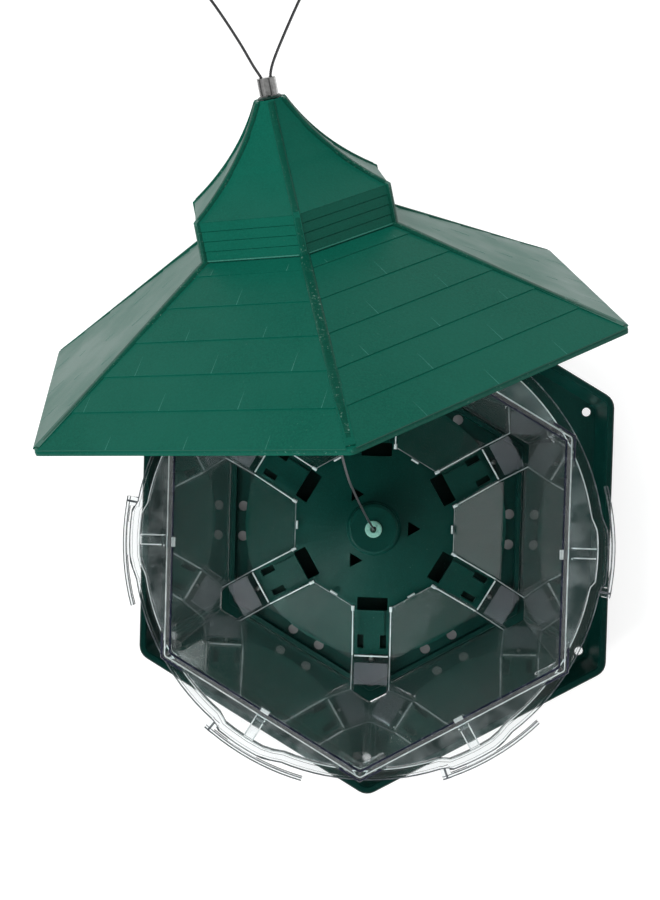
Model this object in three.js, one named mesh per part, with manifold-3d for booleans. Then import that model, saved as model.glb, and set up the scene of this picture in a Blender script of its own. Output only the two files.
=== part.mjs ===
// Hexagonal hanging feeder: green tray with a seed cone, clear hopper and lock collar,
// and a pagoda roof that slides on a wire cable.  Millimetres, +Z up.
// The roof is lifted off and leans back over the rear corner of the tray.
import * as THREE from 'three';
import { mergeVertices } from 'three/addons/utils/BufferGeometryUtils.js';
import Module from 'manifold-3d';

const wasm = await Module();
wasm.setup();

// ---------------------------------------------------------------- driving dimensions
const GAP = 0.3;                 // running gap between neighbouring pieces
const DEG = Math.PI / 180;
const COS30 = Math.cos(30 * DEG);

const TRAY = {
  rimApothem: 121, rimTop: 24, rimWidth: 3.6, lipDrop: 4.5, cornerRadius: 8,
  floorTop: 4, floorBottom: 1.8, innerFloorApothem: 113.5, wall: 2.4,
  footApothem: 104, footWidth: 3, ridgeApothem: 76.8, ridgeWidth: 3.3, ridgeTop: 7,
  cornerDrainR: 2.3, cornerDrainAt: 125.9, drainR: 2.7, drainApothem: 70.4, drainSpacing: 16,
};
const CONE = {
  footR: 69, footTop: 5.3, neckR: 14.3, neckZ: 22.6, hubR: 13.3, hubTop: 30, wall: 2,
  bore: 3.3, rampWidth: 13.2, rampFrom: 44, rampTo: 66, rampRise: 1.0,
};
const HOPPER = {
  bottom: TRAY.floorTop + GAP, top: 129, baseApothem: 79.4, rimApothem: 89.8, wall: 2.2,
  portWidth: 17, portTop: 20, channelHalf: 9, cheek: 1.8, innerApothem: 41.2,
  panelApothem: 67, panel: 1.8,
};
const COLLAR = {
  innerR: 101, outerR: 106, bottom: 119, top: 123, bulge: 2, tabInnerR: 109.4, tabOuterR: 111,
  tabHalfAngle: 13.1, tabTurn: 2.9, strapWidth: 4.7, pocketLeg: 13, pocketWall: 1.4, pocketBottom: 113,
};
const ROOF = {
  cornerR: 137, eave: 2.4, wall: 2.2, neckR: 45.6, neckH: 51, bandTopR: 45.1, bandTopH: 67.4,
  tipR: 5.9, tipH: 107, bow: [18.1, 84.6], bore: 2.9,
};
const CABLE = { r: 0.6, sides: 8 };
const SCREW = { at: 70.6, shankR: 1.0, headR: 2.6, headBottom: 0.3, top: 8.4, bossR: 2.2 };

// Rest pose of the roof: eave-plane centre, direction to the apex, direction to one corner.
const EAVE_CENTRE = new THREE.Vector3(-22.5, 89.1, 145.5);
const ROOF_UP = new THREE.Vector3(-0.1865, 0.9217, 0.3401).normalize();
const ROOF_CORNER = new THREE.Vector3(-0.7584, -0.3551, 0.5465);
const CABLE_FOOT = new THREE.Vector3(0, 0, 31);   // where the cable leaves the hub eyelet
const BEND_BELOW_EAVE = 50;                       // cable bend, measured down the roof axis

// ---------------------------------------------------------------- geometry helpers
function toManifold(geometry) {
  const bare = geometry.clone();
  bare.deleteAttribute('normal');
  bare.deleteAttribute('uv');
  const welded = mergeVertices(bare, 1e-4);
  return new wasm.Manifold(new wasm.Mesh({
    numProp: 3,
    vertProperties: new Float32Array(welded.attributes.position.array),
    triVerts: new Uint32Array(welded.index.array),
  }));
}

function toGeometry(manifold) {
  const mesh = manifold.getMesh();
  const geometry = new THREE.BufferGeometry();
  geometry.setAttribute('position', new THREE.BufferAttribute(mesh.vertProperties, 3));
  geometry.setIndex(new THREE.BufferAttribute(mesh.triVerts, 1));
  return geometry;
}

const join = (...parts) => parts.reduce((a, b) => a.add(b));

function polar(radius, degrees, z = 0) {
  return new THREE.Vector3(radius * Math.cos(degrees * DEG), radius * Math.sin(degrees * DEG), z);
}

// Closed outline of a hexagon with rounded corners; `first` is the angle of one corner.
function hexOutline(apothem, cornerRadius, z, first, steps) {
  const points = [];
  const centreR = (apothem - cornerRadius) / COS30;
  for (let side = 0; side < 6; side += 1) {
    const corner = first + 60 * side;
    const centre = polar(centreR, corner, z);
    for (let i = 0; i <= steps; i += 1) {
      points.push(centre.clone().add(polar(cornerRadius, corner - 30 + (60 * i) / steps)));
    }
  }
  return points;
}

// Body swept round a hexagon: `profile` is a list of [apothem, z, corner radius].
// A profile that starts and ends on the axis makes a solid, any other one closes on itself.
function hexSweep(profile, first = 30, steps = 2) {
  const solid = profile[0][0] === 0;
  const rings = profile.filter(([apothem]) => apothem > 0)
    .map(([apothem, z, r = 0.6]) => hexOutline(apothem, r, z, first, steps));
  const count = rings[0].length;
  const vertices = rings.flat();
  const index = [];
  const bands = solid ? rings.length - 1 : rings.length;
  for (let band = 0; band < bands; band += 1) {
    const a = band * count;
    const b = ((band + 1) % rings.length) * count;
    for (let i = 0; i < count; i += 1) {
      const j = (i + 1) % count;
      index.push(a + i, a + j, b + j, a + i, b + j, b + i);
    }
  }
  if (solid) {
    const bottom = vertices.push(new THREE.Vector3(0, 0, profile[0][1])) - 1;
    const top = vertices.push(new THREE.Vector3(0, 0, profile[profile.length - 1][1])) - 1;
    const last = (rings.length - 1) * count;
    for (let i = 0; i < count; i += 1) {
      const j = (i + 1) % count;
      index.push(bottom, j, i, top, last + i, last + j);
    }
  }
  const geometry = new THREE.BufferGeometry().setFromPoints(vertices);
  geometry.setIndex(index);
  return toManifold(geometry);
}

// Turned body from [radius, z] pairs.
function turned(pairs, segments = 36) {
  const points = pairs.map(([r, z]) => new THREE.Vector2(r, z));
  if (pairs[0][0] > 0) {
    points.push(points[0].clone());
  }
  return toManifold(new THREE.LatheGeometry(points, segments).rotateX(Math.PI / 2));
}

function cylinder(radius, bottom, top, x = 0, y = 0, segments = 18) {
  return wasm.Manifold.cylinder(top - bottom, radius, radius, segments)
    .translate([x, y, bottom]);
}

// Box from radius r0 to r1 and `width` across, turned to face `degrees`.
function radialBox(r0, r1, width, z0, z1, degrees, aside = 0) {
  return wasm.Manifold.cube([r1 - r0, width, z1 - z0])
    .translate([r0, aside - width / 2, z0])
    .rotate([0, 0, degrees]);
}

// Upright plate: side outline of [radius, z], `thickness` thick, at `aside` from the ray.
function radialPlate(outline, thickness, aside, degrees) {
  const shape = new THREE.Shape(outline.map(([r, z]) => new THREE.Vector2(r, z)));
  const plate = new THREE.ExtrudeGeometry(shape, { depth: thickness, bevelEnabled: false });
  plate.rotateX(Math.PI / 2);
  plate.translate(0, aside + thickness / 2, 0);
  return toManifold(plate).rotate([0, 0, degrees]);
}

// Flat band between two radii over an arc; the radii may change with angle.
function arcBand(inner, outer, from, to, z0, z1, steps) {
  const shape = new THREE.Shape();
  const radius = (value, angle) => (typeof value === 'function' ? value(angle) : value);
  const angles = Array.from({ length: steps + 1 }, (_, i) => from + ((to - from) * i) / steps);
  const ring = angles.map((t) => polar(radius(outer, t), t))
    .concat(angles.slice().reverse().map((t) => polar(radius(inner, t), t)));
  shape.setFromPoints(ring.map((p) => new THREE.Vector2(p.x, p.y)));
  const band = new THREE.ExtrudeGeometry(shape, { depth: z1 - z0, bevelEnabled: false });
  return toManifold(band.translate(0, 0, z0));
}

// The same band all the way round.
function ringBand(inner, outer, z0, z1, steps) {
  const outline = (radius) => Array.from({ length: steps }, (_, i) => {
    const angle = (360 * (i + 0.5)) / steps;
    const p = polar(radius(angle), angle);
    return new THREE.Vector2(p.x, p.y);
  });
  const shape = new THREE.Shape(outline(outer));
  shape.holes.push(new THREE.Path(outline(inner)));
  const band = new THREE.ExtrudeGeometry(shape, { depth: z1 - z0, bevelEnabled: false });
  return toManifold(band.translate(0, 0, z0));
}

const corners = [30, 90, 150, 210, 270, 330];
const sides = [0, 60, 120, 180, 240, 300];

// ---------------------------------------------------------------- base
function baseTray() {
  const t = TRAY;
  const underRim = t.rimTop - t.lipDrop;
  const wallTopApothem = t.innerFloorApothem + 4.6 + t.wall - t.rimWidth + 1.2;
  let tray = hexSweep([
    [0, t.floorBottom],
    [t.footApothem - t.footWidth, t.floorBottom, 4],
    [t.footApothem - t.footWidth, 0, 4],
    [t.footApothem, 0, 5],
    [t.footApothem, t.floorBottom, 5],
    [t.innerFloorApothem + t.wall, t.floorBottom, 7],
    [wallTopApothem + t.wall, underRim, 7.4],
    [t.rimApothem, underRim, t.cornerRadius],
    [t.rimApothem, t.rimTop - 0.8, t.cornerRadius],
    [t.rimApothem - 0.8, t.rimTop, t.cornerRadius - 0.8],
    [t.rimApothem - t.rimWidth + 0.6, t.rimTop, 5],
    [t.rimApothem - t.rimWidth, t.rimTop - 0.8, 4.4],
    [t.innerFloorApothem, t.floorTop, 4],
    [t.ridgeApothem, t.floorTop, 2.4],
    [t.ridgeApothem - 0.6, t.ridgeTop, 2],
    [t.ridgeApothem - t.ridgeWidth + 0.6, t.ridgeTop, 1.6],
    [t.ridgeApothem - t.ridgeWidth, t.floorTop, 1.2],
    [0, t.floorTop],
  ], 30, 4);
  for (const corner of corners) {
    const at = polar(t.cornerDrainAt, corner);
    tray = tray.subtract(cylinder(t.cornerDrainR, -1, 8, at.x, at.y, 14));
  }
  for (const side of sides) {
    for (const aside of [-t.drainSpacing / 2, t.drainSpacing / 2]) {
      const hole = cylinder(t.drainR, -1, 6, t.drainApothem, aside, 14);
      tray = tray.subtract(hole.rotate([0, 0, side]));
    }
  }
  for (const corner of corners) {
    const screw = polar(SCREW.at, corner);
    tray = tray.subtract(cylinder(SCREW.shankR + GAP, -1, 6, screw.x, screw.y, 12));
  }
  return tray.subtract(cylinder(8, -1, 6, 0, 0, 24));
}

const coneSurface = (r) => (
  CONE.footTop + ((CONE.footR - r) * (CONE.neckZ - CONE.footTop)) / (CONE.footR - CONE.neckR)
);

function seedCone() {
  const c = CONE;
  let cone = turned([
    [c.bore, c.hubTop - c.wall],
    [c.hubR - c.wall, c.hubTop - c.wall],
    [c.hubR - c.wall, coneSurface(c.hubR) - c.wall],
    [c.footR - 3.4, HOPPER.bottom],
    [c.footR, HOPPER.bottom],
    [c.footR, c.footTop],
    [c.neckR, c.neckZ],
    [c.hubR, c.neckZ + 1.2],
    [c.hubR, c.hubTop - 1.8],
    [c.hubR - 0.5, c.hubTop - 0.6],
    [c.hubR - 1.7, c.hubTop],
    [c.bore, c.hubTop],
  ], 48);
  for (const corner of corners) {
    const ramp = radialPlate([
      [c.rampFrom, coneSurface(c.rampFrom) - 1],
      [c.rampTo, coneSurface(c.rampTo) - 1],
      [c.rampTo, coneSurface(c.rampTo) + c.rampRise],
      [c.rampFrom, coneSurface(c.rampFrom) + c.rampRise],
    ], c.rampWidth, 0, corner);
    cone = cone.add(ramp).subtract(radialBox(37, c.rampFrom, 16, 0, 30, corner));
    for (const aside of [-6, 6]) {
      cone = cone.subtract(radialBox(57.5, 65, 3.4, 0, 30, corner, aside));
    }
  }
  for (const corner of corners) {
    const at = polar(SCREW.at, corner);
    cone = cone.subtract(cylinder(SCREW.bossR + GAP, 0, 30, at.x, at.y, 16));
  }
  for (const angle of [0, 120, 240]) {
    const slot = wasm.Manifold.cylinder(12, 4.4, 4.4, 3).translate([19.8, 0, 12]);
    cone = cone.subtract(slot.rotate([0, 0, angle]));
  }
  return cone;
}

function hubEyelet() {
  return turned([
    [1.5, 26.6], [CONE.bore - GAP, 26.6], [CONE.bore - GAP, CONE.hubTop + 0.1],
    [4.35, CONE.hubTop + GAP], [4.35, CONE.hubTop + 0.7], [3.7, CONE.hubTop + 1], [1.9, CONE.hubTop + 1],
    [1.5, CONE.hubTop + 0.4],
  ], 24);
}

function cableWasher() {
  return turned([[1, 24.4], [7, 24.4], [7, 26.2], [1, 26.2]], 24);
}

function cableStop() {
  return turned([[CABLE.r + GAP, 15.5], [2.6, 15.5], [3, 16], [3, 23.5], [2.6, 24], [CABLE.r + GAP, 24]], 18);
}

function hopperScrew(corner) {
  const at = polar(SCREW.at, corner);
  const s = SCREW;
  return turned([
    [0, s.headBottom], [s.headR, s.headBottom], [s.headR, s.headBottom + 0.6],
    [s.headR - 0.5, s.headBottom + 1.2], [s.shankR, s.headBottom + 1.2],
    [s.shankR, s.top - 1], [0, s.top],
  ], 14).translate([at.x, at.y, 0]);
}

// ---------------------------------------------------------------- hopper
const hopperApothem = (z) => HOPPER.baseApothem
  + ((HOPPER.rimApothem - HOPPER.baseApothem) * (z - HOPPER.bottom)) / (HOPPER.top - HOPPER.bottom);

function hopperBlock(offset, z0, z1) {
  return hexSweep([
    [0, z0],
    [hopperApothem(z0) + offset, z0, Math.max(1.8 + offset, 0.3)],
    [hopperApothem(z1) + offset, z1, Math.max(1.8 + offset, 0.3)],
    [0, z1],
  ]);
}

function floorPanels() {
  const h = HOPPER;
  const under = (apothem) => coneSurface(apothem) + 0.4;
  return hexSweep([
    [h.innerApothem, under(h.innerApothem)],
    [h.panelApothem, under(h.panelApothem)],
    [h.panelApothem, under(h.panelApothem) + h.panel],
    [h.innerApothem, under(h.innerApothem) + h.panel],
  ]);
}

function channelCheek(corner, hand) {
  const h = HOPPER;
  const floor = (r) => coneSurface(r) + 0.5;
  const outline = [
    [h.innerApothem, floor(h.innerApothem)], [68, floor(68)], [84, TRAY.ridgeTop + 0.4],
    [90, TRAY.ridgeTop + 0.4], [92, 22], [80, 17], [68, 13], [h.innerApothem + 1, 20.5],
    [h.innerApothem, 19.5],
  ];
  return radialPlate(outline, h.cheek, hand * (h.channelHalf + h.cheek / 2), corner);
}

function hopper() {
  const h = HOPPER;
  const shell = hopperBlock(0, h.bottom, h.top);
  let walls = shell.subtract(hopperBlock(-h.wall, h.bottom - 0.01, h.top + 0.01));
  let panels = floorPanels();
  for (const corner of corners) {
    walls = walls.subtract(radialBox(70, 100, h.portWidth, 0, h.portTop, corner));
    panels = panels.subtract(radialBox(30, 80, 2 * h.channelHalf, 0, 40, corner));
  }
  let body = walls.add(panels);
  for (const corner of corners) {
    for (const hand of [-1, 1]) {
      body = body.add(channelCheek(corner, hand).intersect(shell));
    }
    const span = 2 * h.channelHalf + 1;
    const at = polar(SCREW.at, corner);
    body = body.add(radialBox(68.4, 72.4, span, coneSurface(67) + 1.4, 10.6, corner));
    body = body.add(radialBox(72, 85, span, TRAY.ridgeTop + 0.5, TRAY.ridgeTop + 2, corner));
    body = body.add(cylinder(SCREW.bossR, h.bottom, 9, at.x, at.y, 16));
    body = body.subtract(cylinder(SCREW.shankR + GAP, 0, SCREW.top + 0.6, at.x, at.y, 12));
  }
  for (const side of sides) {
    body = body.add(radialBox(h.innerApothem - 1.2, h.innerApothem + 2.2, 4.4,
      coneSurface(h.innerApothem) + 1.2, coneSurface(h.innerApothem) + 3.2, side));
  }
  return body;
}

// ---------------------------------------------------------------- lock collar
function collarBulge(angle) {
  const fromSide = ((angle + 30) % 60) - 30;
  const rise = THREE.MathUtils.smoothstep(fromSide, -8.8, -7.2);
  const fall = 1 - THREE.MathUtils.smoothstep(fromSide, 5, 10);
  return COLLAR.bulge * rise * fall;
}

function bayonetTab(side) {
  const c = COLLAR;
  const from = side + c.tabTurn - c.tabHalfAngle;
  const to = side + c.tabTurn + c.tabHalfAngle;
  const strip = arcBand(c.tabInnerR, c.tabOuterR, from, to, c.bottom, c.top - 0.5, 10);
  const hook = arcBand(c.outerR - 1, c.tabOuterR, from, from + 2.2, c.bottom, c.top, 2);
  const web = arcBand(c.outerR, c.tabInnerR + 0.6, side - 4, side + 4, c.bottom, c.bottom + 1.4, 4);
  return join(strip, hook, web);
}

function strap(side) {
  const c = COLLAR;
  const wall = hopperApothem(c.bottom) + GAP;
  const rim = HOPPER.rimApothem + GAP;
  const arm = radialBox(wall, c.innerR + c.bulge + 1.5, c.strapWidth, c.bottom + 1, c.top - 0.6, side);
  const riser = radialBox(rim, rim + 1.6, c.strapWidth, c.bottom + 1, HOPPER.top + 1.9, side);
  const hook = radialBox(rim - HOPPER.wall - 2.4, rim + 1.6, c.strapWidth,
    HOPPER.top + GAP, HOPPER.top + 1.9, side);
  return join(arm, riser, hook);
}

function cornerPockets() {
  const c = COLLAR;
  const top = HOPPER.top - 0.4;
  const outer = hopperBlock(GAP + c.pocketWall, c.pocketBottom, top);
  let keep = null;
  for (const corner of corners) {
    const at = polar(HOPPER.rimApothem / COS30, corner);
    const cut = cylinder(c.pocketLeg, c.pocketBottom, top, at.x, at.y, 20);
    keep = keep ? keep.add(cut) : cut;
  }
  return outer.intersect(keep);
}

function lockCollar() {
  const c = COLLAR;
  const inner = (angle) => c.innerR + collarBulge(angle);
  const outer = (angle) => c.outerR + collarBulge(angle);
  const channel = (angle) => (inner(angle) + outer(angle)) / 2;
  const ring = ringBand(inner, outer, c.bottom, c.top, 126)
    .subtract(ringBand((t) => channel(t) - 1.2, (t) => channel(t) + 1.2, c.top - 1.2, c.top + 1, 126));
  let collar = ring.add(cornerPockets());
  for (const side of sides) {
    collar = join(collar, bayonetTab(side));
  }
  collar = collar.subtract(hopperBlock(GAP, c.pocketBottom - 3, HOPPER.top));
  for (const side of sides) {
    collar = collar.add(strap(side));
  }
  return collar;
}

// ---------------------------------------------------------------- roof, eave plane at z = 0
const roofSlope = (ROOF.cornerR - ROOF.neckR) / (ROOF.neckH - ROOF.eave);

function roofSkirt() {
  const r = ROOF;
  const down = r.wall * Math.hypot(1, 1 / (roofSlope * COS30));
  const apothem = (radius) => radius * COS30;
  let skirt = hexSweep([
    [apothem(r.cornerR) - 3.2, 0, 1.2],
    [apothem(r.cornerR), 0, 3],
    [apothem(r.cornerR), r.eave, 3],
    [apothem(r.neckR), r.neckH, 0.8],
    [apothem(r.neckR) - 5.2, r.neckH, 0.5],
    [apothem(r.neckR) - 5.2, r.neckH - down, 0.5],
    [apothem(r.cornerR) - 3.2, r.eave - 0.6, 1.2],
  ], 0, 3);
  for (let corner = 0; corner < 360; corner += 60) {
    const rib = radialPlate([
      [r.neckR - 3, r.neckH - 2], [r.cornerR - 5, r.eave - 0.6], [r.cornerR - 1.7, r.eave - 0.2],
      [r.cornerR - 1.7, r.eave + 1.1], [r.neckR, r.neckH], [r.neckR - 3, r.neckH],
    ], 3.8, 0, corner);
    skirt = skirt.add(rib);
  }
  return skirt;
}

function spireProfile(steps) {
  const curve = new THREE.QuadraticBezierCurve(
    new THREE.Vector2(ROOF.bandTopR, ROOF.bandTopH),
    new THREE.Vector2(...ROOF.bow),
    new THREE.Vector2(ROOF.tipR, ROOF.tipH),
  );
  return curve.getPoints(steps).map((p) => [p.x, p.y]);
}

function roofSpire() {
  const r = ROOF;
  const flare = spireProfile(8);
  const foot = r.neckH + GAP;
  const outside = flare.map(([radius, h]) => [radius * COS30, h, 0.5]);
  const inside = flare.slice(0, 7).reverse()
    .map(([radius, h]) => [Math.max(radius * COS30 - r.wall, r.bore + 1.2), h - 1.6, 0.4]);
  let spire = hexSweep([
    [r.neckR * COS30, foot, 0.5],
    ...outside,
    [r.bore, r.tipH, 0.4],
    [r.bore, inside[0][1] - 0.5, 0.4],
    ...inside,
    [r.neckR * COS30 - r.wall, foot, 0.4],
  ], 0, 2);
  const stub = hexSweep([
    [r.neckR * COS30 - 7.6, r.neckH - 3, 0.4], [r.neckR * COS30 - 5.5, r.neckH - 3, 0.4],
    [r.neckR * COS30 - 5.5, foot, 0.4], [r.neckR * COS30 - 1, foot, 0.4],
    [r.neckR * COS30 - 1, foot + 2, 0.4], [r.neckR * COS30 - 7.6, foot + 2, 0.4],
  ], 0, 2);
  spire = spire.add(stub);
  for (let corner = 0; corner < 360; corner += 60) {
    const rib = radialPlate([
      [r.neckR - 2, foot], [r.neckR + 1.1, foot],
      ...flare.map(([radius, h], i) => [radius + 1.1 - 0.05 * i, h + 0.2]),
      [r.tipR - 1.5, r.tipH + 0.2],
      ...flare.slice(0, 8).reverse().map(([radius, h]) => [radius - 1.4, h - 0.8]),
    ], 2.6, 0, corner);
    spire = spire.add(rib);
  }
  return spire.subtract(cylinder(r.bore, r.tipH - 30, r.tipH + 5, 0, 0, 20));
}

function roofBushing() {
  const top = ROOF.tipH + 1.1;
  return turned([
    [1, ROOF.tipH - 7], [ROOF.bore - GAP, ROOF.tipH - 7], [ROOF.bore - GAP, ROOF.tipH + 0.3],
    [ROOF.tipR - 1, ROOF.tipH + 0.5], [ROOF.tipR - 1, top - 0.3], [ROOF.tipR - 1.4, top], [1, top],
  ], 20);
}

const FERRULE = { bottom: ROOF.tipH + 1.5, height: 7, width: 7.9, depth: 4 };

function topFerrule() {
  const f = FERRULE;
  const top = f.bottom + f.height;
  const offset = (f.width - f.depth) / 2;
  const barrel = (x) => cylinder(f.depth / 2, f.bottom, top, x, 0, 18);
  const waist = wasm.Manifold.cube([2 * offset, f.depth - 0.5, f.height])
    .translate([-offset, -(f.depth - 0.5) / 2, f.bottom]);
  let ferrule = join(barrel(-offset), barrel(offset), waist);
  ferrule = ferrule.subtract(cylinder(CABLE.r + GAP, f.bottom - 1, f.bottom + 2.6, 0, 0, 12));
  for (const x of [-offset, offset]) {
    ferrule = ferrule.subtract(cylinder(CABLE.r + GAP, top - 3, top + 1, x, 0, 12));
  }
  return ferrule;
}

// ---------------------------------------------------------------- cable
function cord(points, steps) {
  const path = new THREE.CatmullRomCurve3(points, false, 'centripetal');
  const ring = new THREE.Shape();
  for (let i = 0; i < CABLE.sides; i += 1) {
    const p = polar(CABLE.r, (360 / CABLE.sides) * i);
    if (i === 0) {
      ring.moveTo(p.x, p.y);
    } else {
      ring.lineTo(p.x, p.y);
    }
  }
  return new THREE.ExtrudeGeometry(ring, { steps, extrudePath: path, bevelEnabled: false });
}

const LOOP = { lean: 0.15, height: 122.5 };

// Stiff teardrop loop above the ferrule, drawn in its own plane and leaning to one side.
function loopPoints() {
  const start = FERRULE.bottom + FERRULE.height - 2.4;
  const half = [
    [1.95, 0], [1.95, 2.6], [4.2, 8], [9.6, 18.5], [18, 33], [32, 55], [44, 82], [41, 105], [22, 119],
  ];
  const at = (x, h) => new THREE.Vector3(x + LOOP.lean * Math.max(h - 8, 0), 0, start + h);
  const right = half.map(([x, h]) => at(x, h));
  const left = half.slice().reverse().map(([x, h]) => at(-x, h));
  return [...right, at(0, LOOP.height), ...left];
}

// ---------------------------------------------------------------- assembly
function roofFrame() {
  const x = ROOF_CORNER.clone().addScaledVector(ROOF_UP, -ROOF_CORNER.dot(ROOF_UP)).normalize();
  const y = new THREE.Vector3().crossVectors(ROOF_UP, x);
  return new THREE.Matrix4().makeBasis(x, y, ROOF_UP).setPosition(EAVE_CENTRE);
}

// Loop and ferrule face the front: their width lies level, square to the roof axis.
function loopFrame() {
  const across = new THREE.Vector3(1, 0, 0);
  across.addScaledVector(ROOF_UP, -across.dot(ROOF_UP)).normalize();
  const deep = new THREE.Vector3().crossVectors(ROOF_UP, across);
  return new THREE.Matrix4().makeBasis(across, deep, ROOF_UP).setPosition(EAVE_CENTRE);
}

const green = 0x0b4a3b;
const clear = 0xc4d2d2;
const root = new THREE.Group();
root.name = 'hexagonal_feeder';

function place(name, shape, color, options = {}) {
  const geometry = shape.isBufferGeometry ? shape : toGeometry(shape);
  const { matrix, ...look } = options;
  if (matrix) {
    geometry.applyMatrix4(matrix);
  }
  const material = new THREE.MeshStandardMaterial({ color, roughness: 0.45, metalness: 0, ...look });
  material.name = name;
  const mesh = new THREE.Mesh(geometry, material);
  mesh.name = name;
  root.add(mesh);
}

const steel = { metalness: 0.9, roughness: 0.35 };
const glassy = { transparent: true, opacity: 0.35, roughness: 0.1 };

place('base_tray', baseTray(), green);
place('seed_cone', seedCone(), green);
place('hub_eyelet', hubEyelet(), 0x8fb3a3);
place('cable_washer', cableWasher(), 0x9a9c9d, steel);
place('cable_stop', cableStop(), 0xb5b8b9, steel);
corners.forEach((corner, i) => place(`hopper_screw_${i + 1}`, hopperScrew(corner), 0x8c8f91, steel));
place('hopper', hopper(), clear, glassy);
place('lock_collar', lockCollar(), clear, glassy);

const onRoof = { matrix: roofFrame() };
place('roof_skirt', roofSkirt(), green, onRoof);
place('roof_spire', roofSpire(), green, onRoof);
place('roof_bushing', roofBushing(), 0x1c1f1e, onRoof);
place('top_ferrule', topFerrule(), 0xc3c5c4, { ...steel, matrix: loopFrame() });

const bend = EAVE_CENTRE.clone().addScaledVector(ROOF_UP, -BEND_BELOW_EAVE);
const tie = EAVE_CENTRE.clone().addScaledVector(ROOF_UP, FERRULE.bottom + 2.2);
const towards = (from, to, by) => from.clone().addScaledVector(to.clone().sub(from).normalize(), by);
const tail = [new THREE.Vector3(0, 0, 14), new THREE.Vector3(0, 0, CABLE_FOOT.z - GAP)];
const lower = [towards(CABLE_FOOT, bend, GAP), towards(bend, CABLE_FOOT, GAP)];
place('cable_tail', cord(tail, 2), 0x55585a, steel);
place('cable_lower', cord(lower, 4), 0x55585a, steel);
place('cable_upper', cord([towards(bend, tie, GAP), tie], 4), 0x55585a, steel);
place('hanging_loop', cord(loopPoints(), 72), 0x55585a, { ...steel, matrix: loopFrame() });

// Origin: middle of the underside of the whole object, cables left out.
const extent = new THREE.Box3();
root.traverse((node) => {
  if (node.isMesh && !/^(cable_(tail|lower|upper)|hanging_loop)$/.test(node.name)) {
    extent.expandByObject(node, true);
  }
});
const centre = extent.getCenter(new THREE.Vector3());
for (const node of root.children) {
  node.geometry.translate(-centre.x, -centre.y, -extent.min.z);
}

export default root;
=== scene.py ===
"""Looks of a hexagonal hanging bird feeder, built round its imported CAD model.

Places come from the CAD frame.  Lengths are in millimetres, and MM turns them into metres.
Roof pieces are drawn in the roof's own frame, and the rest in the hub's.
"""

import math

import bmesh
import bpy
from mathutils import Matrix, Vector


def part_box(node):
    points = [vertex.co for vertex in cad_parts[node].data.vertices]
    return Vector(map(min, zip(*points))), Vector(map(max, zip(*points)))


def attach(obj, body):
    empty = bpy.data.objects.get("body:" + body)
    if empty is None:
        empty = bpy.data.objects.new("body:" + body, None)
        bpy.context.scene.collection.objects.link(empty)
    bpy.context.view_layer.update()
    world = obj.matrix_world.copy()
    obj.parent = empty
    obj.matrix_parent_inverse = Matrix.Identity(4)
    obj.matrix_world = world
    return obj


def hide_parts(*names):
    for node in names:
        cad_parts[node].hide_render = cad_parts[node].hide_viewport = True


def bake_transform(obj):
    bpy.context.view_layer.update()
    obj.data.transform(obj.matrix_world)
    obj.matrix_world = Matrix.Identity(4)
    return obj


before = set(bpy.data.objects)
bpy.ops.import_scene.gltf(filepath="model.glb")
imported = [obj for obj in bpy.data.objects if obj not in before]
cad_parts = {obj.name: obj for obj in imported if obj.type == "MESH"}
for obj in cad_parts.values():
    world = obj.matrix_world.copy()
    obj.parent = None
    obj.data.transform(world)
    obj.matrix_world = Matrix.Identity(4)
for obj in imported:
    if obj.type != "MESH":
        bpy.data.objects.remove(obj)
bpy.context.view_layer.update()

MM = 0.001
HEX = [60 * k for k in range(6)]
HALF_TURNED = [30 + a for a in HEX]
COS30 = math.cos(math.radians(30))

# ------------------------------------------------------------------ reference frame
# The hub axis of the tray, at table level.
eyelet_low, eyelet_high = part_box("hub_eyelet")
HUB = Vector(((eyelet_low.x + eyelet_high.x) / 2, (eyelet_low.y + eyelet_high.y) / 2, 0))

# The roof leans back: its own frame has +Z towards the tip and 0 at the eave plane.
# ROOF_CORNER points from its axis to one of its corners.
EAVE_CENTRE = HUB + Vector((-22.5, 89.1, 145.5)) * MM
ROOF_UP = Vector((-0.1865, 0.9217, 0.3401)).normalized()
ROOF_CORNER = Vector((-0.7584, -0.3551, 0.5465))

# Roof sizes, the same as the CAD's: corner radii (R) and heights (H) above the eave plane.
EAVE_R, EAVE_H = 137.0, 2.4
NECK_R, NECK_H = 45.6, 51.0
BAND_R, BAND_H = 45.1, 67.4
TIP_R, TIP_H = 5.9, 107.0
SPIRE_BOW = (18.1, 84.6)
CABLE_BEND_H = -50.0


def basis(x_hint, up, origin):
    """Matrix of a frame whose z is `up` and whose x is `x_hint` made square to it."""
    x = (x_hint - up * x_hint.dot(up)).normalized()
    y = up.cross(x)
    rotation = Matrix((x, y, up)).transposed().to_4x4()
    return Matrix.Translation(origin) @ rotation


ROOF = basis(ROOF_CORNER, ROOF_UP, EAVE_CENTRE)
LOOP = basis(Vector((1, 0, 0)), ROOF_UP, EAVE_CENTRE)


# ------------------------------------------------------------------ camera
CAMERA_FROM_HUB = Vector((23.63, 64.71, 788.74))
CAMERA_RIGHT = Vector((0.99766, 0.02702, -0.06276))
CAMERA_BACK = Vector((0.06187, 0.0325, 0.99755))
CAMERA_LENS, CAMERA_SENSOR = 59.34, 36.0


def make_camera():
    """Looks almost straight down on the tray, from the photograph's angle."""
    data = bpy.data.cameras.new("camera")
    data.sensor_fit = "VERTICAL"
    data.sensor_height = CAMERA_SENSOR
    data.lens = CAMERA_LENS
    camera = bpy.data.objects.new("camera", data)
    bpy.context.scene.collection.objects.link(camera)
    place = HUB + CAMERA_FROM_HUB * MM
    camera.matrix_world = basis(CAMERA_RIGHT, CAMERA_BACK.normalized(), place)
    bpy.context.scene.camera = camera


make_camera()


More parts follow.
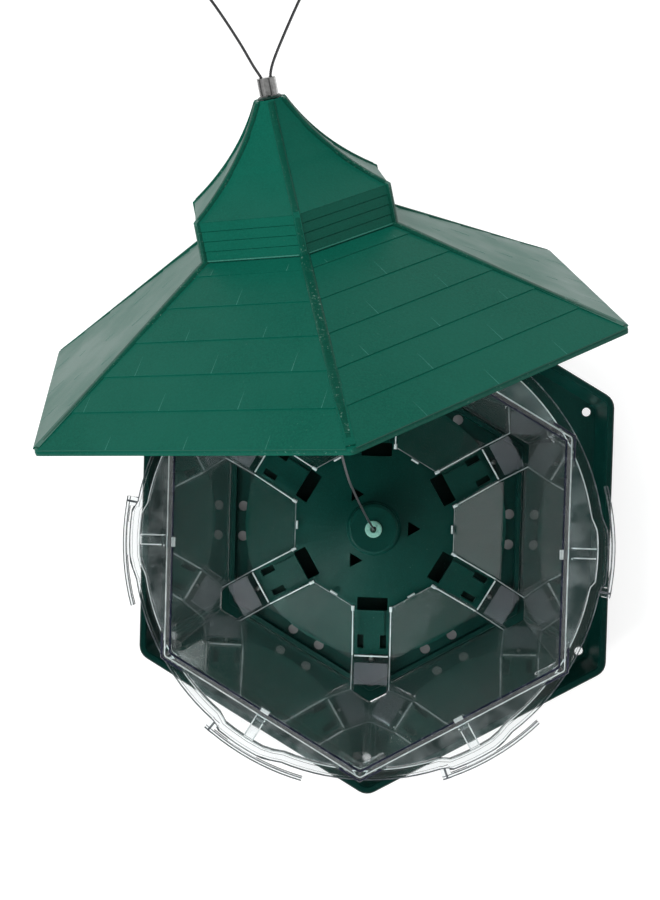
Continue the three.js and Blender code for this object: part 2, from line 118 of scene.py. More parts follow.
# ------------------------------------------------------------------ mesh helpers
def add_object(name, data, matrix=None):
    """Object at the origin, with `matrix` applied to its points."""
    if matrix is not None:
        data.transform(matrix)
    obj = bpy.data.objects.new(name, data)
    bpy.context.scene.collection.objects.link(obj)
    return obj


def mesh_from(name, vertices, faces):
    """Mesh from millimetre points."""
    mesh = bpy.data.meshes.new(name)
    mesh.from_pydata([Vector(v) * MM for v in vertices], [], faces)
    mesh.update()
    return mesh


def smooth_by_angle(mesh, degrees=35):
    """Smooth shading, with edges sharper than `degrees` kept crisp."""
    mesh.polygons.foreach_set("use_smooth", [True] * len(mesh.polygons))
    mesh.set_sharp_from_angle(angle=math.radians(degrees))


def bevel(obj, width, segments=2, angle=30):
    """Rounds every edge sharper than `angle` by `width` millimetres."""
    modifier = obj.modifiers.new("soft_edges", "BEVEL")
    modifier.width = width * MM
    modifier.segments = segments
    modifier.limit_method = "ANGLE"
    modifier.angle_limit = math.radians(angle)
    modifier.harden_normals = False


def polar(radius, degrees, z=0.0):
    """Point at `radius` and `degrees` round the axis, at height `z`."""
    a = math.radians(degrees)
    return Vector((radius * math.cos(a), radius * math.sin(a), z))


def outward_normals(mesh):
    """Turns every face of a closed mesh outward."""
    bm = bmesh.new()
    bm.from_mesh(mesh)
    bmesh.ops.recalc_face_normals(bm, faces=bm.faces)
    bm.to_mesh(mesh)
    bm.free()


def join_rings(faces, first, second, count):
    """Quads between two closed rings of `count` vertices that start at `first` and `second`."""
    for k in range(count):
        k2 = (k + 1) % count
        faces.append((first + k, first + k2, second + k2, second + k))


def cap_tube(faces, first, last, count):
    """Closes both ends of a tube whose end rings start at `first` and `last`."""
    faces.append(tuple(first + k for k in reversed(range(count))))
    faces.append(tuple(last + k for k in range(count)))


def rounded_hexagon(apothem, corner_radius, first, z, steps=5):
    """Hexagon outline with rounded corners, the first corner at `first` degrees."""
    points = []
    centre_r = (apothem - corner_radius) / COS30
    for side in range(6):
        corner = first + 60 * side
        centre = polar(centre_r, corner, z)
        for i in range(steps + 1):
            points.append(centre + polar(corner_radius, corner - 30 + 60 * i / steps))
    return points


def swept_hexagon(name, profile, first, material, matrix=None):
    """Closed profile of (apothem, z, corner radius) swept round a hexagon."""
    rings = [rounded_hexagon(a, r, first, z) for a, z, r in profile]
    vertices = [p for ring in rings for p in ring]
    count = len(rings[0])
    faces = []
    for i in range(len(rings)):
        join_rings(faces, i * count, ((i + 1) % len(rings)) * count, count)
    mesh = mesh_from(name, vertices, faces)
    outward_normals(mesh)
    smooth_by_angle(mesh, 40)
    mesh.materials.append(material)
    return add_object(name, mesh, matrix)


def smooth_route(points, spacing):
    """Evenly spaced points on a Catmull-Rom curve through `points` (millimetres)."""
    points = [Vector(p) for p in points]
    padded = [2 * points[0] - points[1]] + points + [2 * points[-1] - points[-2]]
    dense = []
    for i in range(1, len(padded) - 2):
        p0, p1, p2, p3 = padded[i - 1:i + 3]
        for step in range(24):
            t = step / 24
            a = 2 * p1 + (p2 - p0) * t
            b = (2 * p0 - 5 * p1 + 4 * p2 - p3) * t * t
            c = (3 * p1 - p0 - 3 * p2 + p3) * t ** 3
            dense.append((a + b + c) / 2)
    dense.append(points[-1])
    lengths = [0.0]
    for a, b in zip(dense, dense[1:]):
        lengths.append(lengths[-1] + (b - a).length)
    count = max(2, round(lengths[-1] / spacing))
    route, j = [], 0
    for i in range(count + 1):
        want = lengths[-1] * i / count
        while j < len(lengths) - 2 and lengths[j + 1] < want:
            j += 1
        span = lengths[j + 1] - lengths[j]
        t = (want - lengths[j]) / span if span else 0.0
        route.append(dense[j].lerp(dense[j + 1], min(1.0, t)))
    return route, lengths[-1]


def stranded_wire(name, route, radius, strands=7, pitch=8.0):
    """Tube along `route` whose lobed section twists, like laid strands."""
    sides = strands * 3
    vertices, faces = [], []
    side_axis = None
    travelled = 0.0
    for i, point in enumerate(route):
        ahead = route[min(i + 1, len(route) - 1)] - route[max(i - 1, 0)]
        ahead.normalize()
        if side_axis is None:
            side_axis = ahead.orthogonal().normalized()
        side_axis = (side_axis - ahead * side_axis.dot(ahead)).normalized()
        other = ahead.cross(side_axis)
        if i:
            travelled += (point - route[i - 1]).length
        twist = 2 * math.pi * travelled / pitch
        for k in range(sides):
            angle = 2 * math.pi * k / sides
            r = radius * (1.0 if k % 3 else 0.80)
            a = angle + twist
            vertices.append(point + side_axis * (r * math.cos(a)) + other * (r * math.sin(a)))
    for i in range(len(route) - 1):
        join_rings(faces, i * sides, (i + 1) * sides, sides)
    cap_tube(faces, 0, (len(route) - 1) * sides, sides)
    mesh = mesh_from(name, vertices, faces)
    smooth_by_angle(mesh, 80)
    return add_object(name, mesh)


# ------------------------------------------------------------------ material helpers
class Shader:
    """Small helper that adds nodes to one material."""

    def __init__(self, name):
        self.material = bpy.data.materials.new(name)
        self.material.use_nodes = True
        self.tree = self.material.node_tree
        self.tree.nodes.clear()
        self.output = self.tree.nodes.new("ShaderNodeOutputMaterial")

    def node(self, kind, inputs=None, **settings):
        made = self.tree.nodes.new("ShaderNode" + kind)
        for key, value in settings.items():
            setattr(made, key, value)
        for key, value in (inputs or {}).items():
            self.put(made.inputs[key], value)
        return made

    def put(self, socket, value):
        if isinstance(value, bpy.types.NodeSocket):
            self.tree.links.new(value, socket)
        else:
            socket.default_value = value

    def coordinates(self):
        return self.node("TexCoord").outputs["Object"]

    def stretched(self, vector, scale):
        return self.node("Mapping", {"Vector": vector, "Scale": scale}).outputs["Vector"]

    def noise(self, vector, scale, detail=3.0, roughness=0.55):
        inputs = {"Vector": vector, "Scale": scale, "Detail": detail, "Roughness": roughness}
        return self.node("TexNoise", inputs).outputs["Fac"]

    def ramp(self, value, low, high, start=0.0, end=1.0):
        """Straight ramp from `start` where `value` is `low` to `end` where it is `high`."""
        ends = {"From Min": low, "From Max": high, "To Min": start, "To Max": end}
        return self.node("MapRange", {"Value": value, **ends}).outputs["Result"]

    def math(self, operation, a, b):
        made = self.node("Math", operation=operation)
        self.put(made.inputs[0], a)
        self.put(made.inputs[1], b)
        return made.outputs[0]

    def mix(self, factor, a, b):
        made = self.node("Mix", data_type="RGBA")
        self.put(made.inputs["Factor"], factor)
        self.put(made.inputs["A"], a)
        self.put(made.inputs["B"], b)
        return made.outputs["Result"]

    def bump(self, height, strength, distance):
        inputs = {"Height": height, "Strength": strength, "Distance": distance}
        return self.node("Bump", inputs).outputs["Normal"]

    def principled(self, **inputs):
        named = {key.replace("_", " "): value for key, value in inputs.items()}
        made = self.node("BsdfPrincipled", named)
        self.tree.links.new(made.outputs["BSDF"], self.output.inputs["Surface"])
        return made


SCUFF_TONE = (0.30, 0.50, 0.42, 1)
CLEAR_TONE = (0.94, 0.965, 0.97, 1)
SHADOW_TINT = (0.86, 0.9, 0.9, 1)


def moulded_green(name, dark, light, wear=0.0, gloss=0.26, grain=0.12):
    """Semi-gloss moulded plastic: mottled colour, fine grain and pale scuffs."""
    s = Shader(name)
    at = s.coordinates()
    cloud = s.ramp(s.noise(at, 28, 4), 0.35, 0.65)
    fine = s.noise(at, 1400, 2)
    base = s.mix(cloud, dark, light)
    base = s.mix(s.ramp(fine, 0.35, 0.75), base, tuple(c * 1.2 for c in light[:3]) + (1,))
    streak = s.noise(s.stretched(at, (60, 900, 60)), 3, 3, 0.7)
    scuffs = s.ramp(streak, 0.74 - 0.22 * wear, 0.86 - 0.16 * wear)
    specks = s.ramp(s.noise(at, 900, 2, 0.6), 0.70 - 0.16 * wear, 0.80 - 0.1 * wear)
    patch = s.ramp(s.noise(at, 22, 2), 0.42, 0.62)
    worn = s.math("MULTIPLY", s.math("MAXIMUM", scuffs, specks), 0.16 + 0.7 * wear)
    worn = s.math("MULTIPLY", worn, s.math("ADD", s.math("MULTIPLY", patch, 0.85), 0.15))
    base = s.mix(worn, base, SCUFF_TONE)
    rough = s.ramp(cloud, 0.0, 1.0, 0.36, 0.48)
    normal = s.bump(s.noise(at, 700, 3), grain, 0.0004)
    s.principled(Base_Color=base, Roughness=rough, Normal=normal, IOR=1.47,
                 Specular_IOR_Level=gloss)
    return s.material


def clear_plastic(name, edge_tint):
    """Clear styrene: scratched and hazy, darker where a wall is seen edge-on.

    Shadow rays pass, so that the inside stays lit.
    """
    s = Shader(name)
    at = s.coordinates()
    haze = s.ramp(s.noise(at, 60, 4), 0.3, 0.8)
    rough = s.ramp(haze, 0.0, 1.0, 0.02, 0.07)
    scratch = s.ramp(s.noise(s.stretched(at, (420, 420, 40)), 1.6, 3, 0.7), 0.66, 0.80)
    specks = s.ramp(s.noise(at, 620, 2, 0.6), 0.74, 0.80)
    marks = s.math("MULTIPLY", s.math("MAXIMUM", scratch, specks), 0.16)
    facing = s.node("LayerWeight", {"Blend": 0.5}).outputs["Facing"]
    steep_haze = s.math("MULTIPLY", s.ramp(facing, 0.50, 0.78), 0.05)
    clear = s.math("SUBTRACT", 1.0, s.math("ADD", marks, steep_haze))
    tint = s.mix(s.ramp(facing, 0.86, 0.995), CLEAR_TONE, edge_tint)
    body = s.principled(Base_Color=tint, Roughness=rough, IOR=1.5, Transmission_Weight=clear)
    through = s.node("BsdfTransparent", {"Color": SHADOW_TINT})
    shadow = s.node("LightPath").outputs["Is Shadow Ray"]
    blend = s.node("MixShader", {"Fac": shadow})
    s.tree.links.new(body.outputs["BSDF"], blend.inputs[1])
    s.tree.links.new(through.outputs["BSDF"], blend.inputs[2])
    s.tree.links.new(blend.outputs["Shader"], s.output.inputs["Surface"])
    return s.material


def painted_edge_light(name, low, high):
    """Bead on a moulded edge of the clear plastic, coloured as painted light: bright copies are
    painted highlights, dark copies painted dark reflections.
    """
    s = Shader(name)
    at = s.coordinates()
    patch = s.ramp(s.noise(at, 140, 3), 0.3, 0.7)
    rough = s.ramp(patch, 0.0, 1.0, 0.15, 0.35)
    s.principled(Base_Color=s.mix(patch, low, high), Roughness=rough, IOR=1.5)
    return s.material


def metal(name, color, roughness, scale=900):
    """Bright metal with cloudy tone and fine unevenness."""
    s = Shader(name)
    at = s.coordinates()
    patch = s.noise(at, scale, 3)
    tone = s.mix(s.ramp(patch, 0.3, 0.7), color, tuple(c * 0.72 for c in color[:3]) + (1,))
    rough = s.ramp(patch, 0.0, 1.0, roughness, roughness + 0.2)
    normal = s.bump(s.noise(at, scale * 2, 2), 0.15, 0.0002)
    s.principled(Base_Color=tone, Roughness=rough, Normal=normal, Metallic=1.0)
    return s.material


def floor_paper():
    """Pale back-lit floor, dim where the tray's foot covers it."""
    s = Shader("studio_paper")
    at = s.coordinates()
    tone = s.mix(s.noise(at, 8, 2), (0.93, 0.93, 0.93, 1), (0.95, 0.95, 0.95, 1))
    from_hub = s.node("VectorMath", operation="DISTANCE")
    s.put(from_hub.inputs[0], at)
    s.put(from_hub.inputs[1], HUB)
    open_floor = s.ramp(from_hub.outputs["Value"], 0.098, 0.114)
    glow = s.math("ADD", s.math("MULTIPLY", open_floor, 0.79), 0.04)
    s.principled(Base_Color=s.mix(0.62, tone, (0, 0, 0, 1)), Roughness=0.8, Specular_IOR_Level=0.0,
                 Emission_Color=tone, Emission_Strength=glow)
    return s.material


def streaked_reflection_web(name):
    """Thin clear web whose pale streaks are painted wavy reflections."""
    s = Shader(name)
    at = s.coordinates()
    # Painted reflections: pale wavy streaks on a faint sheet.
    streak = s.ramp(s.noise(s.stretched(at, (70, 70, 12)), 1.6, 4, 0.65), 0.35, 0.72)
    tone = s.mix(streak, (0.60, 0.70, 0.72, 1), (0.85, 0.90, 0.91, 1))
    opacity = s.math("ADD", s.math("MULTIPLY", streak, 0.08), 0.02)
    s.principled(Base_Color=tone, Roughness=0.3, IOR=1.45, Alpha=opacity)
    return s.material


def frosted_plastic(name):
    """Thin matt plate that whatever lies under it shows through softly."""
    s = Shader(name)
    haze = s.ramp(s.noise(s.coordinates(), 45, 2), 0.3, 0.7)
    tone = s.mix(haze, (0.52, 0.55, 0.60, 1), (0.66, 0.69, 0.73, 1))
    rough = s.ramp(haze, 0.0, 1.0, 0.10, 0.18)
    s.principled(Base_Color=tone, Roughness=rough, IOR=1.35, Transmission_Weight=0.90)
    return s.material


# Palette: each green has its darker and lighter tone, then wear and gloss where they differ.
GREEN = moulded_green("green_moulded", (0.0016, 0.080, 0.053, 1), (0.0032, 0.094, 0.063, 1))
GREEN_WORN = moulded_green("green_scuffed", (0.0010, 0.048, 0.029, 1), (0.0026, 0.066, 0.043, 1),
                           0.5, 0.18)
GREEN_EDGE = moulded_green("green_edge", (0.0020, 0.070, 0.046, 1), (0.0045, 0.090, 0.062, 1), 0.5)
GREEN_SCRATCH = moulded_green("green_joint_line", (0.020, 0.14, 0.10, 1), (0.040, 0.18, 0.14, 1),
                              0.4)
GREEN_CONE = moulded_green("green_cone", (0.0008, 0.025, 0.019, 1), (0.0018, 0.036, 0.028, 1),
                           0.02, 0.14)
GREEN_TRAY = moulded_green("green_tray", (0.0006, 0.014, 0.011, 1), (0.0012, 0.021, 0.017, 1),
                           0.03, 0.14)
PALE_GREEN = moulded_green("pale_green", (0.16, 0.36, 0.29, 1), (0.22, 0.43, 0.36, 1))
DARK = moulded_green("dark_bushing", (0.01, 0.03, 0.024, 1), (0.016, 0.045, 0.036, 1))
CLEAR = clear_plastic("clear_styrene", (0.10, 0.13, 0.17, 1))
CLEAR_COLLAR = clear_plastic("clear_collar", (0.46, 0.50, 0.52, 1))
# Edge beads: painted highlights in bright and grey, painted dark reflections in smoke and navy.
PAINTED_HIGHLIGHT = painted_edge_light("painted_highlight_edge", (0.42, 0.48, 0.48, 1), (0.70, 0.75, 0.75, 1))
PAINTED_SOFT_HIGHLIGHT = painted_edge_light("painted_soft_highlight_edge", (0.13, 0.15, 0.16, 1), (0.30, 0.33, 0.33, 1))
PAINTED_DARK_REFLECTION = painted_edge_light("painted_dark_reflection_edge", (0.05, 0.06, 0.07, 1), (0.16, 0.18, 0.19, 1))
PAINTED_NAVY_REFLECTION = painted_edge_light("painted_navy_reflection_edge", (0.006, 0.008, 0.022, 1), (0.020, 0.024, 0.048, 1))
FROSTED = frosted_plastic("clear_frosted")
PAINTED_REFLECTION_WEB = streaked_reflection_web("painted_reflection_web")
ZINC = metal("zinc_ferrule", (0.78, 0.78, 0.77, 1), 0.3)
WIRE = metal("steel_wire", (0.30, 0.30, 0.31, 1), 0.38, 2500)
SCREW_STEEL = metal("screw_steel", (0.55, 0.55, 0.54, 1), 0.35)


# ------------------------------------------------------------------ cable and loop
WIRE_R = 0.6
FERRULE_BOTTOM, FERRULE_HEIGHT = TIP_H + 1.5, 7.0


def roof_point(h):
    """Point on the roof axis at height `h`, in millimetres of the CAD frame."""
    return EAVE_CENTRE / MM + ROOF_UP * h


HUB_EXIT_H, TAIL_FOOT_H = 31.3, 14.0
CABLE_BOW = Vector((-1.8, 0.6, 0))
ROUTE_SPACING = 0.9


def make_cable():
    """One smooth wire from the hub eyelet, bowing over into the roof and up its axis."""
    foot = HUB / MM + Vector((0, 0, HUB_EXIT_H))
    bend = roof_point(CABLE_BEND_H)
    points = [foot.lerp(bend, t) + CABLE_BOW * math.sin(math.pi * t)
              for t in (0, 0.12, 0.3, 0.5, 0.72)]
    points += [roof_point(h) for h in (-36, -14, 12, 50, 90, FERRULE_BOTTOM + 2.2)]
    route, length = smooth_route(points, ROUTE_SPACING)
    cable = stranded_wire("suspension_cable", route, WIRE_R)
    cable.data.materials.append(WIRE)
    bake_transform(cable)
    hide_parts("cable_lower", "cable_upper")


def make_tail():
    """The short end that hangs straight down through the hub into its stop."""
    foot = HUB / MM
    steps, top = 24, HUB_EXIT_H - 0.1
    rise = (top - TAIL_FOOT_H) / steps
    route = [foot + Vector((0, 0, TAIL_FOOT_H + i * rise)) for i in range(steps + 1)]
    tail = stranded_wire("cable_end", route, WIRE_R)
    tail.data.materials.append(WIRE)
    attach(tail, "base")
    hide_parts("cable_tail")


# Right half of the loop, across and up from the ferrule; it leans once it is LOOP_STEM up.
LOOP_HALF = [(1.95, 0), (1.95, 2.6), (4.2, 8), (9.6, 18.5), (18, 33), (32, 55), (44, 82),
             (41, 105), (22, 119)]
LOOP_LEAN, LOOP_STEM, LOOP_HEIGHT = 0.15, 8, 122.5


def make_loop():
    """Stiff teardrop of wire above the ferrule, drawn in the loop's own plane."""
    start = FERRULE_BOTTOM + FERRULE_HEIGHT - 2.4
    flat = LOOP_HALF + [(0, LOOP_HEIGHT)] + [(-x, h) for x, h in reversed(LOOP_HALF)]
    flat = [(x + LOOP_LEAN * max(h - LOOP_STEM, 0), 0, start + h) for x, h in flat]
    points = [LOOP @ (Vector(p) * MM) / MM for p in flat]
    route, length = smooth_route(points, ROUTE_SPACING)
    loop = stranded_wire("hanging_wire_loop", route, WIRE_R)
    loop.data.materials.append(WIRE)
    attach(loop, "cable_head")
    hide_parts("hanging_loop")


make_cable()
make_tail()
make_loop()


# ------------------------------------------------------------------ roof
SKIRT_SLOPE = math.hypot((EAVE_R - NECK_R) * COS30, NECK_H - EAVE_H)
# Course lines as shares of the way up a facet, with the eave and the neck at the ends.
COURSES = [-0.004, 0.19, 0.375, 0.555, 0.74, 0.915, 0.985]
BOARD_LOW_EDGE, BOARD_HIGH_EDGE = 0.44, 0.14
JOINT_SPACING, JOINT_HALF_WIDTH = 34.6, 0.17
SPIRE_COURSES = (82.236, 95.942)


def facet_frame(side_angle):
    """Frame of a lower roof facet: x along the eave, y up the slope, z outward."""
    low = polar(EAVE_R * COS30, side_angle, EAVE_H)
    high = polar(NECK_R * COS30, side_angle, NECK_H)
    y = (high - low).normalized()
    x = polar(1, side_angle + 90)
    z = x.cross(y)
    return low, x, y, z


def add_slab(vertices, faces, corners, base, tops):
    """Low block on a facet: outline at height `base`, raised to `tops` on the upper side."""
    first = len(vertices)
    count = len(corners)
    vertices.extend(p + n * base for p, n in corners)
    vertices.extend(p + n * top for (p, n), top in zip(corners, tops))
    faces.append(tuple(first + i for i in reversed(range(count))))
    faces.append(tuple(first + count + i for i in range(count)))
    for i in range(count):
        j = (i + 1) % count
        faces.append((first + i, first + j, first + count + j, first + count + i))


def facet_half_width(y, margin):
    """Half width of a lower facet at `y` up the slope, inside its ribs."""
    return EAVE_R / 2 + (NECK_R / 2 - EAVE_R / 2) * y / SKIRT_SLOPE - margin


def make_shingles():
    """Six courses: each board lifts towards its lower edge, which throws a thin dark line."""
    vertices, faces = [], []
    for side_angle in HALF_TURNED:
        low, x, y, z = facet_frame(side_angle)
        for y0, y1 in zip(COURSES, COURSES[1:]):
            y0, y1 = y0 * SKIRT_SLOPE, y1 * SKIRT_SLOPE + 0.2
            outline = []
            for py, hand in ((y0, -1), (y0, 1), (y1, 1), (y1, -1)):
                outline.append((hand * facet_half_width(py, 2.0), py))
            corners = [(low + x * px + y * py, z) for px, py in outline]
            add_slab(vertices, faces, corners, -0.1, [BOARD_LOW_EDGE] * 2 + [BOARD_HIGH_EDGE] * 2)
    mesh = mesh_from("roof_shingles", vertices, faces)
    mesh.materials.append(GREEN)
    shingles = add_object("roof_shingles", mesh, ROOF)
    bevel(shingles, 0.09, 1)
    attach(shingles, "roof")


def make_joint_lines():
    """Worn ridges between shingles: full at the course line, dying out up the slope."""
    vertices, faces = [], []
    for facet, side_angle in enumerate(HALF_TURNED):
        low, x, y, z = facet_frame(side_angle)
        for course, (y0, y1) in enumerate(zip(COURSES, COURSES[1:])):
            y0, y1 = y0 * SKIRT_SLOPE, y1 * SKIRT_SLOPE
            shift = JOINT_SPACING / 2 * (course % 2)
            reach = (y1 - y0) * (0.42 + 0.08 * ((facet + course) % 3))
            for k in range(-4, 5):
                px = shift + JOINT_SPACING * k
                if abs(px) > facet_half_width(y0 + reach, 3.5):
                    continue
                outline = [(px - JOINT_HALF_WIDTH, y0 + 0.1), (px + JOINT_HALF_WIDTH, y0 + 0.1),
                           (px + 0.03, y0 + reach), (px - 0.03, y0 + reach)]
                corners = [(low + x * across + y * up, z) for across, up in outline]
                add_slab(vertices, faces, corners, 0.0, [0.52, 0.52, 0.30, 0.30])
    mesh = mesh_from("shingle_joints", vertices, faces)
    mesh.materials.append(GREEN_SCRATCH)
    joints = add_object("shingle_joints", mesh, ROOF)
    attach(joints, "roof")


def sweep_rib(vertices, faces, line, across, half_width, section_height):
    """Rounded bar along `line`, a list of (point, outward direction)."""
    profile = [(-1.0, -0.5), (-1.0, 0.45), (-0.78, 0.85), (-0.4, 1.0),
               (0.4, 1.0), (0.78, 0.85), (1.0, 0.45), (1.0, -0.5)]
    first = len(vertices)
    for point, outward in line:
        for a, b in profile:
            vertices.append(point + across * (a * half_width) + outward * (b * section_height))
    count = len(profile)
    for i in range(len(line) - 1):
        join_rings(faces, first + i * count, first + (i + 1) * count, count)
    cap_tube(faces, first, first + (len(line) - 1) * count, count)


def rib_object(name, lines, half_width, height):
    """Ribs along `lines` of (corner angle, rib line), as one worn green piece."""
    vertices, faces = [], []
    for corner, line in lines:
        sweep_rib(vertices, faces, line, polar(1, corner + 90), half_width, height)
    mesh = mesh_from(name, vertices, faces)
    outward_normals(mesh)
    smooth_by_angle(mesh, 50)
    mesh.materials.append(GREEN_WORN)
    ribs = add_object(name, mesh, ROOF)
    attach(ribs, "roof")


def make_skirt_ribs():
    """Ribs on the six hips of the lower roof."""
    lines = []
    for corner in HEX:
        out = polar(1, corner)
        slope = Vector((out.x * (EAVE_R - NECK_R), out.y * (EAVE_R - NECK_R), EAVE_H - NECK_H))
        slope.normalize()
        normal = slope.cross(polar(1, corner + 90))
        if normal.z < 0:
            normal = -normal
        start = polar(EAVE_R - 2.0, corner, EAVE_H - 0.2)
        end = polar(NECK_R - 0.5, corner, NECK_H)
        line = [(start.lerp(end, i / 24), normal) for i in range(25)]
        lines.append((corner, line))
    rib_object("roof_hip_ribs", lines, 2.05, 1.25)


def spire_curve(steps):
    """Radius and height of a spire hip, from the cupola band to the tip."""
    points = []
    for i in range(steps + 1):
        t = i / steps
        r = (1 - t) ** 2 * BAND_R + 2 * t * (1 - t) * SPIRE_BOW[0] + t * t * TIP_R
        h = (1 - t) ** 2 * BAND_H + 2 * t * (1 - t) * SPIRE_BOW[1] + t * t * TIP_H
        points.append((r, h))
    return points


def make_spire_ribs():
    """Ribs up the corners of the cupola band and along the spire's hips."""
    curve = spire_curve(24)
    lines = []
    for corner in HEX:
        out = polar(1, corner)
        line = [(polar(NECK_R + 0.1, corner, NECK_H + 0.4), out)]
        line.append((polar(BAND_R + 0.1, corner, BAND_H - 1.2), out))
        for (r0, h0), (r1, h1) in zip(curve, curve[1:]):
            normal = Vector((out.x * (h1 - h0), out.y * (h1 - h0), r0 - r1)).normalized()
            line.append((polar((r0 + r1) / 2, corner, (h0 + h1) / 2), normal))
        lines.append((corner, line))
    rib_object("roof_spire_ribs", lines, 1.45, 1.15)


def make_band_boards():
    """Four lapped boards on each side of the cupola band."""
    vertices, faces = [], []
    boards = 4
    height = (BAND_H - NECK_H) / boards
    for side_angle in HALF_TURNED:
        out = polar(1, side_angle)
        across = polar(1, side_angle + 90)
        for board in range(boards):
            z0 = NECK_H + 0.35 + board * height
            z1 = z0 + height - 0.10
            reach = NECK_R * COS30
            half = NECK_R / 2 - 1.3
            corners = [(out * reach + across * x + Vector((0, 0, z)), out)
                       for x, z in ((-half, z0), (half, z0), (half, z1), (-half, z1))]
            add_slab(vertices, faces, corners, -0.3, [0.40, 0.40, 0.18, 0.18])
    mesh = mesh_from("cupola_boards", vertices, faces)
    mesh.materials.append(GREEN)
    boards_obj = add_object("cupola_boards", mesh, ROOF)
    bevel(boards_obj, 0.1, 1)
    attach(boards_obj, "roof")


def make_spire_panels():
    """Curved panels between the spire ribs, stepped at two course lines."""
    vertices, faces = [], []
    curve = spire_curve(28)
    for side_angle in HALF_TURNED:
        out = polar(1, side_angle)
        across = polar(1, side_angle + 90)
        rows = []
        for r, h in curve:
            courses_above = sum(1 for s in SPIRE_COURSES if h < s)
            next_step = max([s for s in (BAND_H,) + SPIRE_COURSES if s <= h])
            proud = 0.25 + 0.45 * max(0.0, 1 - (h - next_step) / 14.0) + 0.02 * courses_above
            half = max(r / 2 - 0.6, 0.8)
            centre = out * (r * COS30 + proud) + Vector((0, 0, h + 0.1))
            left, right = centre - across * half, centre + across * half
            rows.append((left, right, right - out * 0.5, left - out * 0.5))
        first = len(vertices)
        for row in rows:
            vertices.extend(row)
        for i in range(len(rows) - 1):
            join_rings(faces, first + 4 * i, first + 4 * (i + 1), 4)
        cap_tube(faces, first, first + 4 * (len(rows) - 1), 4)
    mesh = mesh_from("spire_panels", vertices, faces)
    outward_normals(mesh)
    smooth_by_angle(mesh, 25)
    mesh.materials.append(GREEN)
    panels = add_object("spire_panels", mesh, ROOF)
    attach(panels, "roof")


def make_eave_lip():
    """Rounded bead round the eave, worn pale on its edge."""
    top = EAVE_R * COS30
    profile = []
    for i in range(9):
        a = math.radians(-100 + 200 * i / 8)
        profile.append((top - 0.9 + 1.0 * math.cos(a), 1.1 + 1.25 * math.sin(a), 3.0))
    lip = swept_hexagon("eave_lip", profile, 0, GREEN_EDGE, ROOF)
    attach(lip, "roof")


def make_neck_line():
    """Pale worn line where the cupola meets the lower roof."""
    profile = [(0.34 * math.cos(math.radians(a)), 0.34 * math.sin(math.radians(a)))
               for a in range(0, 360, 60)]
    rings = [(NECK_R * COS30 + 0.5 + dx, NECK_H + 0.4 + dz, 0.9) for dx, dz in profile]
    line = swept_hexagon("neck_worn_line", rings, 0, GREEN_SCRATCH, ROOF)
    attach(line, "roof")


make_shingles()
make_neck_line()
make_joint_lines()
make_skirt_ribs()
make_band_boards()
make_spire_panels()
make_spire_ribs()
make_eave_lip()


# ------------------------------------------------------------------ edges of the clear parts, beads of painted highlight and painted dark reflection
# Sizes of the hopper and the collar, the same as the CAD's.
HOPPER_TOP = 129.0
RIM_APOTHEM, WALL = 89.8, 2.2
RING_INNER, RING_OUTER, RING_TOP = 101.0, 106.0, 123.0
TAB_INNER, TAB_OUTER, TAB_TURN, TAB_HALF_ANGLE = 109.4, 111.0, 2.9, 13.1
STRAP_HALF = 2.35
CHANNEL_HALF, CHEEK = 9.0, 1.8
PANEL_INNER = 41.2
CORNERS = HALF_TURNED
CONE_TOP_R, CONE_TOP_H, CONE_FOOT_R, CONE_FOOT_H = 14.3, 22.6, 69, 5.3


def cone_surface(r):
    """Height of the seed cone at radius r."""
    slope = (CONE_TOP_H - CONE_FOOT_H) / (CONE_FOOT_R - CONE_TOP_R)
    return CONE_FOOT_H + (CONE_FOOT_R - r) * slope


def smoothstep(x, low, high):
    """0 below `low`, 1 above `high` and a smooth rise between them."""
    t = min(1.0, max(0.0, (x - low) / (high - low)))
    return t * t * (3 - 2 * t)


def ring_bulge(angle):
    """The ring stands out 2 mm behind each locking tab."""
    from_side = (angle + 30) % 60 - 30
    return 2.0 * smoothstep(from_side, -8.8, -7.2) * (1 - smoothstep(from_side, 5, 10))


def bead(vertices, faces, route, radius, closed=False, sides=6):
    """Thin round bead along a route in the hub's frame."""
    first = len(vertices)
    count = len(route)
    for i, point in enumerate(route):
        before = route[i - 1] if i or closed else point
        after = route[(i + 1) % count] if i < count - 1 or closed else point
        ahead = (after - before).normalized()
        side = ahead.cross(Vector((0, 0, 1)))
        side = side.normalized() if side.length > 1e-6 else Vector((1, 0, 0))
        lift = side.cross(ahead)
        for k in range(sides):
            a = 2 * math.pi * k / sides
            vertices.append(point + side * (radius * math.cos(a)) + lift * (radius * math.sin(a)))
    for i in range(count if closed else count - 1):
        join_rings(faces, first + i * sides, first + ((i + 1) % count) * sides, sides)
    if not closed:
        cap_tube(faces, first, first + (count - 1) * sides, sides)


def edge_object(name, beads, material):
    """One piece from (route, radius, closed) beads, riding on the base."""
    vertices, faces = [], []
    for route, radius, closed in beads:
        bead(vertices, faces, route, radius, closed)
    mesh = mesh_from(name, vertices, faces)
    outward_normals(mesh)
    smooth_by_angle(mesh, 60)
    mesh.materials.append(material)
    piece = add_object(name, mesh, Matrix.Translation(HUB))
    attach(piece, "base")


def hexagon_route(apothem, z, corner_radius):
    """Outline of the hopper at `apothem`, for a bead."""
    return rounded_hexagon(apothem, corner_radius, 30, z, 4)


def turned_point(radius, aside, z, degrees):
    """Point at `radius` along the ray at `degrees` and `aside` to its left."""
    return polar(radius, degrees) + polar(aside, degrees + 90) + Vector((0, 0, z))


